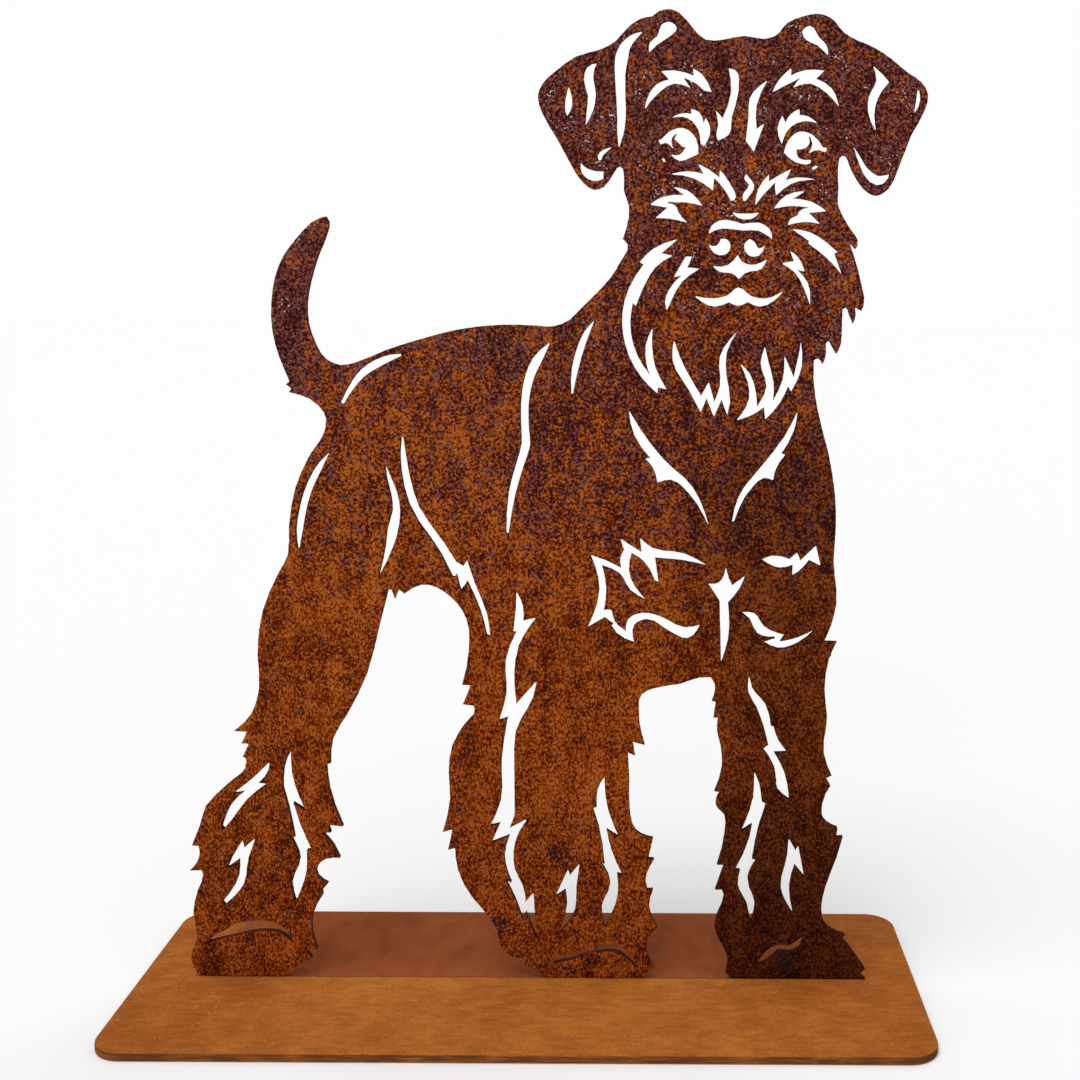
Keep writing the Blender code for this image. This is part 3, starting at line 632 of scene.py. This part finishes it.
    # Black scale sits in small broken spots on the lower legs.
    flat = node("ShaderNodeMapping", {}, {"Vector": place, "Scale": (1, 0, 1)})
    broken = node("ShaderNodeTexNoise", {}, {
        "Vector": place, "Scale": cells(1.6), "Detail": 4, "Roughness": 0.8})
    for across, up, reach in SCALE_SPOTS:
        near = node("ShaderNodeVectorMath", {"operation": "DISTANCE"}, {
            0: flat, 1: (across * MM, 0, up * MM)}, output="Value")
        near = node("ShaderNodeMapRange", SMOOTH, {
            "Value": near, "From Min": SPOT_START * reach * MM, "From Max": SPOT_FULL * reach * MM})
        broken = node("ShaderNodeMath", TIMES_PLUS, {0: near, 1: SPOT_WEIGHT, 2: broken})
    black = node("ShaderNodeMapRange", SMOOTH, {"Value": broken, "From Min": 0.61, "From Max": 0.66})
    black = node("ShaderNodeMath", TIMES, {0: black, 1: zone["lower legs"]})
    colour = node("ShaderNodeMix", COAT, {"Factor": black, 6: colour, 7: (*colours.black, 1)}, output=2)

    # The cut side of the sheet and the lip round it are darker: partly the cut edge's own rust, partly
    # painted shade that outlines the sheet.
    facing = node("ShaderNodeSeparateXYZ", {}, {
        "Vector": node("ShaderNodeTexCoord", output="Normal")}, output="Y")
    facing = node("ShaderNodeMath", SIZE_OF, {0: facing})
    side = node("ShaderNodeMapRange", SMOOTH, {
        "Value": facing, "From Min": 0.9, "From Max": 0.5, "To Min": 0.0, "To Max": 0.75})
    colour = node("ShaderNodeMix", COAT, {"Factor": side, 6: colour, 7: (*colours.side, 1)}, output=2)

    # Pits shine a little more than the grains, which stand about a tenth of a millimetre out of them.
    rough = node("ShaderNodeMapRange", {}, {
        "Value": grain, "From Min": 0.3, "From Max": 0.7, "To Min": 0.6, "To Max": 0.95})
    bump = node("ShaderNodeBump", {}, {"Height": tone, "Strength": 1.0, "Distance": 0.5 * MM})
    shader = node("ShaderNodeBsdfPrincipled", {}, {
        "Base Color": colour, "Roughness": rough, "Normal": bump, "Metallic": 0.0,
        "Specular IOR Level": 0.05})
    node("ShaderNodeOutputMaterial", {}, {"Surface": shader}, output=None)
    return material


# Borders on the plate: which way each is measured, where it starts and where it is full, in millimetres.
PLATE_BANDS = (
    ("shadow left", "wavy", -126, -116),
    ("shadow right", "wavy", 130, 120),
    ("shadow front", "out", -1.2, -0.6),
    ("line left", "across", -124, -118),
    ("line right", "across", 84, 78),
    ("line width", "from line", 0.5, 0.2),
    ("scratched end", "across", -60, -110),
)
# The line lies this far in front of the middle of the sheet, and the painted shadow's ends wander by up to
# this much.
LINE_FORWARD = 1 * MM
SHADOW_WANDER = 16 * MM
# How strongly each of them covers the even rust.
SHADOW_STRENGTH = 0.92
LINE_STRENGTH = 0.7
SCRATCH_STRENGTH = 0.55


def even_rust(colours):
    """Even rust on cold-rolled mild steel plate, which has no rolling scale and rusts alike all over.

    It is a fine powder, so the eye sees a soft matt orange with faint clouds, drawn out a little along
    the plate. Behind the dog, the plate carries a painted shadow of the sheet, redder and darker.
    """
    material, node = empty_material("even_rust_on_mild_steel")
    place = node("ShaderNodeTexCoord", output="Object")
    across = node("ShaderNodeSeparateXYZ", {}, {"Vector": place}, output="X")
    out = node("ShaderNodeSeparateXYZ", {}, {"Vector": place}, output="Y")

    # Clouds 14 mm wide, streaks 2.5 mm wide along the plate, and powder.
    # Real powder is far finer, and this is drawn coarse, at 0.8 mm, so that it shows.
    clouds = node("ShaderNodeTexNoise", {}, {
        "Vector": place, "Scale": cells(14), "Detail": 5, "Roughness": 0.6})
    drawn = node("ShaderNodeMapping", {}, {"Vector": place, "Scale": (0.3, 1, 1)})
    drawn = node("ShaderNodeTexNoise", {}, {
        "Vector": drawn, "Scale": cells(2.5), "Detail": 4, "Roughness": 0.65})
    powder = node("ShaderNodeTexNoise", {}, {
        "Vector": place, "Scale": cells(0.8), "Detail": 2, "Roughness": 0.6})
    tone = node("ShaderNodeMix", {}, {"Factor": 0.5, "A": clouds, "B": drawn})
    tone = node("ShaderNodeMix", {}, {"Factor": 0.35, "A": tone, "B": powder})

    # The middle of the plate is painted lighter than its ends, as a pool of light.
    ends = node("ShaderNodeMath", SIZE_OF, {0: across})
    ends = node("ShaderNodeMapRange", SMOOTH, {
        "Value": ends, "From Min": 60 * MM, "From Max": 150 * MM, "To Min": 0.05, "To Max": -0.02})
    lit = node("ShaderNodeMath", PLUS, {0: tone, 1: ends})
    colour = node("ShaderNodeValToRGB", {}, {"Fac": lit}, (
        (0.37, colours.plate_deep), (0.63, colours.plate_high), (0.50, colours.plate)))

    # The painted shadow of the sheet reaches from paw to paw and starts at the sheet, which stands over the
    # middle of the plate.
    faint = node("ShaderNodeMapping", {}, {"Vector": place, "Scale": (1, 0.5, 1)})
    faint = node("ShaderNodeTexNoise", {}, {
        "Vector": faint, "Scale": cells(11), "Detail": 5, "Roughness": 0.6})
    painted_shadow = node("ShaderNodeValToRGB", {}, {"Fac": faint}, (
        (0.28, colours.painted_shadow_deep), (0.72, colours.painted_shadow_high), (0.50, colours.painted_shadow)))
    line = node("ShaderNodeMath", PLUS, {0: out, 1: LINE_FORWARD})
    way = {
        "across": across,
        "out": out,
        "wavy": node("ShaderNodeMath", TIMES_PLUS, {0: clouds, 1: SHADOW_WANDER, 2: across}),
        "from line": node("ShaderNodeMath", SIZE_OF, {0: line})}
    zone = {}
    for name, along, start, full in PLATE_BANDS:
        zone[name] = node("ShaderNodeMapRange", SMOOTH, {
            "Value": way[along], "From Min": start * MM, "From Max": full * MM})
    # Painted shadow: the plate behind the sheet, between the paws, is coloured redder and darker.
    behind = node("ShaderNodeMath", TIMES, {0: zone["shadow left"], 1: zone["shadow right"]})
    behind = node("ShaderNodeMath", TIMES, {0: behind, 1: zone["shadow front"]})
    behind = node("ShaderNodeMath", TIMES, {0: behind, 1: SHADOW_STRENGTH})
    colour = node("ShaderNodeMix", COAT, {"Factor": behind, 6: colour, 7: painted_shadow}, output=2)
    # A thin dark line runs along the painted shadow's front border.
    line = node("ShaderNodeMath", TIMES, {0: zone["line left"], 1: zone["line right"]})
    line = node("ShaderNodeMath", TIMES, {0: line, 1: zone["line width"]})
    line = node("ShaderNodeMath", TIMES, {0: line, 1: LINE_STRENGTH})
    colour = node("ShaderNodeMix", COAT, {"Factor": line, 6: colour, 7: (*colours.rim, 1)}, output=2)

    # Faint curved scratches and specks lie towards the left end.
    vein = node("ShaderNodeTexNoise", {}, {
        "Vector": place, "Scale": cells(17), "Detail": 1, "Roughness": 0.5})
    vein = node("ShaderNodeMath", {"operation": "SUBTRACT"}, {0: vein, 1: 0.5})
    vein = node("ShaderNodeMath", SIZE_OF, {0: vein})
    vein = node("ShaderNodeMapRange", SMOOTH, {"Value": vein, "From Min": 0.006, "From Max": 0.002})
    gaps = node("ShaderNodeTexNoise", {}, {
        "Vector": place, "Scale": cells(9), "Detail": 2, "Roughness": 0.5})
    gaps = node("ShaderNodeMapRange", SMOOTH, {"Value": gaps, "From Min": 0.52, "From Max": 0.60})
    vein = node("ShaderNodeMath", TIMES, {0: vein, 1: gaps})
    speck = node("ShaderNodeTexNoise", {}, {
        "Vector": place, "Scale": cells(1.3), "Detail": 1, "Roughness": 0.5})
    speck = node("ShaderNodeMapRange", SMOOTH, {"Value": speck, "From Min": 0.72, "From Max": 0.76})
    marks = node("ShaderNodeMath", {"operation": "MAXIMUM"}, {0: vein, 1: speck})
    marks = node("ShaderNodeMath", TIMES, {0: marks, 1: zone["scratched end"]})
    marks = node("ShaderNodeMath", TIMES, {0: marks, 1: SCRATCH_STRENGTH})
    colour = node("ShaderNodeMix", COAT, {"Factor": marks, 6: colour, 7: (*colours.scratch, 1)}, output=2)

    # The edges are darker, with drawn-out lines along them.
    facing = node("ShaderNodeSeparateXYZ", {}, {
        "Vector": node("ShaderNodeTexCoord", output="Normal")}, output="Z")
    facing = node("ShaderNodeMath", SIZE_OF, {0: facing})
    facing = node("ShaderNodeMapRange", SMOOTH, {"Value": facing, "From Min": 0.9, "From Max": 0.5})
    lines = node("ShaderNodeMapping", {}, {"Vector": place, "Scale": (0.08, 0.08, 1)})
    lines = node("ShaderNodeTexNoise", {}, {
        "Vector": lines, "Scale": cells(1), "Detail": 3, "Roughness": 0.6})
    lines = node("ShaderNodeMapRange", SMOOTH, {
        "Value": lines, "From Min": 0.35, "From Max": 0.6, "To Min": 0.4, "To Max": 0.9})
    edge = node("ShaderNodeMath", TIMES, {0: facing, 1: lines})
    colour = node("ShaderNodeMix", COAT, {"Factor": edge, 6: colour, 7: (*colours.rim, 1)}, output=2)

    bump = node("ShaderNodeBump", {}, {"Height": tone, "Strength": 1.0, "Distance": 0.25 * MM})
    shader = node("ShaderNodeBsdfPrincipled", {}, {
        "Base Color": colour, "Roughness": 0.85, "Normal": bump, "Metallic": 0.0,
        "Specular IOR Level": 0.08})
    node("ShaderNodeOutputMaterial", {}, {"Surface": shader}, output=None)
    return material


FINISHES = {}


def shared_finish(make, colours):
    """Gives the material that a function makes, made only once for all the pieces that have it."""
    if make.__name__ not in FINISHES:
        FINISHES[make.__name__] = make(colours)
    return FINISHES[make.__name__]


# The stage

FLOOR_SIZE = 40
FLOOR_GAP = 0.2 * MM
PAPER_WHITE = (0.94, 0.94, 0.94, 1)

# Where the photograph was taken from, in metres, and how its picture lies in the lens, in pixels.
CAMERA_PLACE = Vector((0.04816, -0.55523, 0.27321))
CAMERA_PITCH = math.radians(3.547)
CAMERA_ROLL = math.radians(0.285)
FOCAL_PIXELS = 1425.8
PICTURE_PIXELS = 1080
MIDDLE_PIXEL = (651.76, 389.0)

# Strength of the sky as it lights things and as the camera sees it.
SKY_LIGHT = 0.45
SKY_SEEN = 0.98
SKY_WHITE = (1, 1, 1, 1)
# Each lamp shines from the direction of a point seen from the origin.
KEY_FROM = (-0.35, -0.35, 1.50)
KEY_POWER = 1.62
FILL_FROM = (-0.3, -1.0, 0.2)
FILL_POWER = 0.6
BACK_FROM = (0.6, 0.8, 0.9)
BACK_POWER = 0.3
LAMP_WIDTH = math.radians(40)


def soft_sun(name, origin, power):
    """Sets one wide, soft lamp far away in the direction of a point."""
    lamp = bpy.data.lights.new(name, "SUN")
    lamp.angle = LAMP_WIDTH
    lamp.energy = power
    light = bpy.data.objects.new(name, lamp)
    light.rotation_euler = Vector(origin).to_track_quat("Z", "Y").to_euler()
    bpy.context.collection.objects.link(light)


class GARDENDOG_OT_stage(bpy.types.Operator):
    """Sets the pale floor, the soft studio light and the camera at the photograph's place"""
    bl_idname = "gardendog.stage"
    bl_label = "Stage"
    bl_options = {"REGISTER", "UNDO"}

    def execute(self, context):
        clear_selection()
        bpy.ops.mesh.primitive_plane_add(size=FLOOR_SIZE, location=(0, 0, CAD_BOX[0].z - FLOOR_GAP))
        floor = name_piece("floor")
        # Matt white paper: it sends light back evenly and shows only soft shadows.
        paper = bpy.data.materials.new("white_paper_floor")
        paper.use_nodes = True
        shader = paper.node_tree.nodes["Principled BSDF"].inputs
        shader["Base Color"].default_value = PAPER_WHITE
        shader["Roughness"].default_value = 1.0
        shader["Specular IOR Level"].default_value = 0.0
        floor.data.materials.append(paper)

        world = bpy.data.worlds.new("soft_sky")
        world.use_nodes = True
        world.node_tree.nodes.clear()
        node = partial(add_node, world.node_tree)
        # The sky lights softly, and where the camera looks past the floor it is as white as the floor.
        mixed = node("ShaderNodeMixShader", {}, {
            "Fac": node("ShaderNodeLightPath", output="Is Camera Ray"),
            1: node("ShaderNodeBackground", {}, {"Color": SKY_WHITE, "Strength": SKY_LIGHT}),
            2: node("ShaderNodeBackground", {}, {"Color": SKY_WHITE, "Strength": SKY_SEEN})})
        node("ShaderNodeOutputWorld", {}, {"Surface": mixed}, output=None)
        context.scene.world = world
        soft_sun("key_light", KEY_FROM, KEY_POWER)
        soft_sun("fill_light", FILL_FROM, FILL_POWER)
        soft_sun("back_light", BACK_FROM, BACK_POWER)

        lens = bpy.data.cameras.new("photo_camera")
        lens.sensor_width = 36
        lens.lens = FOCAL_PIXELS / PICTURE_PIXELS * lens.sensor_width
        lens.shift_x = (PICTURE_PIXELS / 2 - MIDDLE_PIXEL[0]) / PICTURE_PIXELS
        lens.shift_y = (MIDDLE_PIXEL[1] - PICTURE_PIXELS / 2) / PICTURE_PIXELS
        lens.clip_start = 0.01
        camera = bpy.data.objects.new("photo_camera", lens)
        camera.location = CAMERA_PLACE
        turn = Matrix.Rotation(math.radians(90) - CAMERA_PITCH, 4, "X") @ Matrix.Rotation(CAMERA_ROLL, 4, "Z")
        camera.rotation_euler = turn.to_euler()
        context.collection.objects.link(camera)
        context.scene.camera = camera
        context.scene.view_settings.view_transform = "Standard"
        return {"FINISHED"}


class GARDENDOG_PT_panel(bpy.types.Panel):
    """Lists the steps that build the garden dog"""
    bl_idname = "GARDENDOG_PT_panel"
    bl_label = "Garden Dog"
    bl_space_type = "VIEW_3D"
    bl_region_type = "UI"
    bl_category = "Garden Dog"

    def draw(self, context):
        layout = self.layout
        for group in (context.scene.garden_dog_sheet, context.scene.garden_dog_plate,
                      context.scene.garden_dog_weld, context.scene.garden_dog_rust):
            box = layout.box()
            for name in group.__annotations__:
                box.prop(group, name)
        for step in STEPS:
            layout.operator(step.bl_idname)


SETTINGS = {
    "garden_dog_sheet": SheetSettings,
    "garden_dog_plate": PlateSettings,
    "garden_dog_weld": WeldSettings,
    "garden_dog_rust": RustSettings,
}
STEPS = (GARDENDOG_OT_sheet, GARDENDOG_OT_plate, GARDENDOG_OT_welds, GARDENDOG_OT_stage)


def register():
    """Registers the settings, the operators and the panel."""
    for name, group in SETTINGS.items():
        bpy.utils.register_class(group)
        setattr(bpy.types.Scene, name, PointerProperty(type=group))
    for step in STEPS:
        bpy.utils.register_class(step)
    bpy.utils.register_class(GARDENDOG_PT_panel)


def unregister():
    """Takes away again all that register adds."""
    bpy.utils.unregister_class(GARDENDOG_PT_panel)
    for step in reversed(STEPS):
        bpy.utils.unregister_class(step)
    for name, group in reversed(SETTINGS.items()):
        delattr(bpy.types.Scene, name)
        bpy.utils.unregister_class(group)


def main():
    """Builds the dog and its stage."""
    register()
    bpy.ops.gardendog.sheet()
    bpy.ops.gardendog.plate()
    bpy.ops.gardendog.welds()
    bpy.ops.gardendog.stage()


if __name__ == "__main__":
    main()
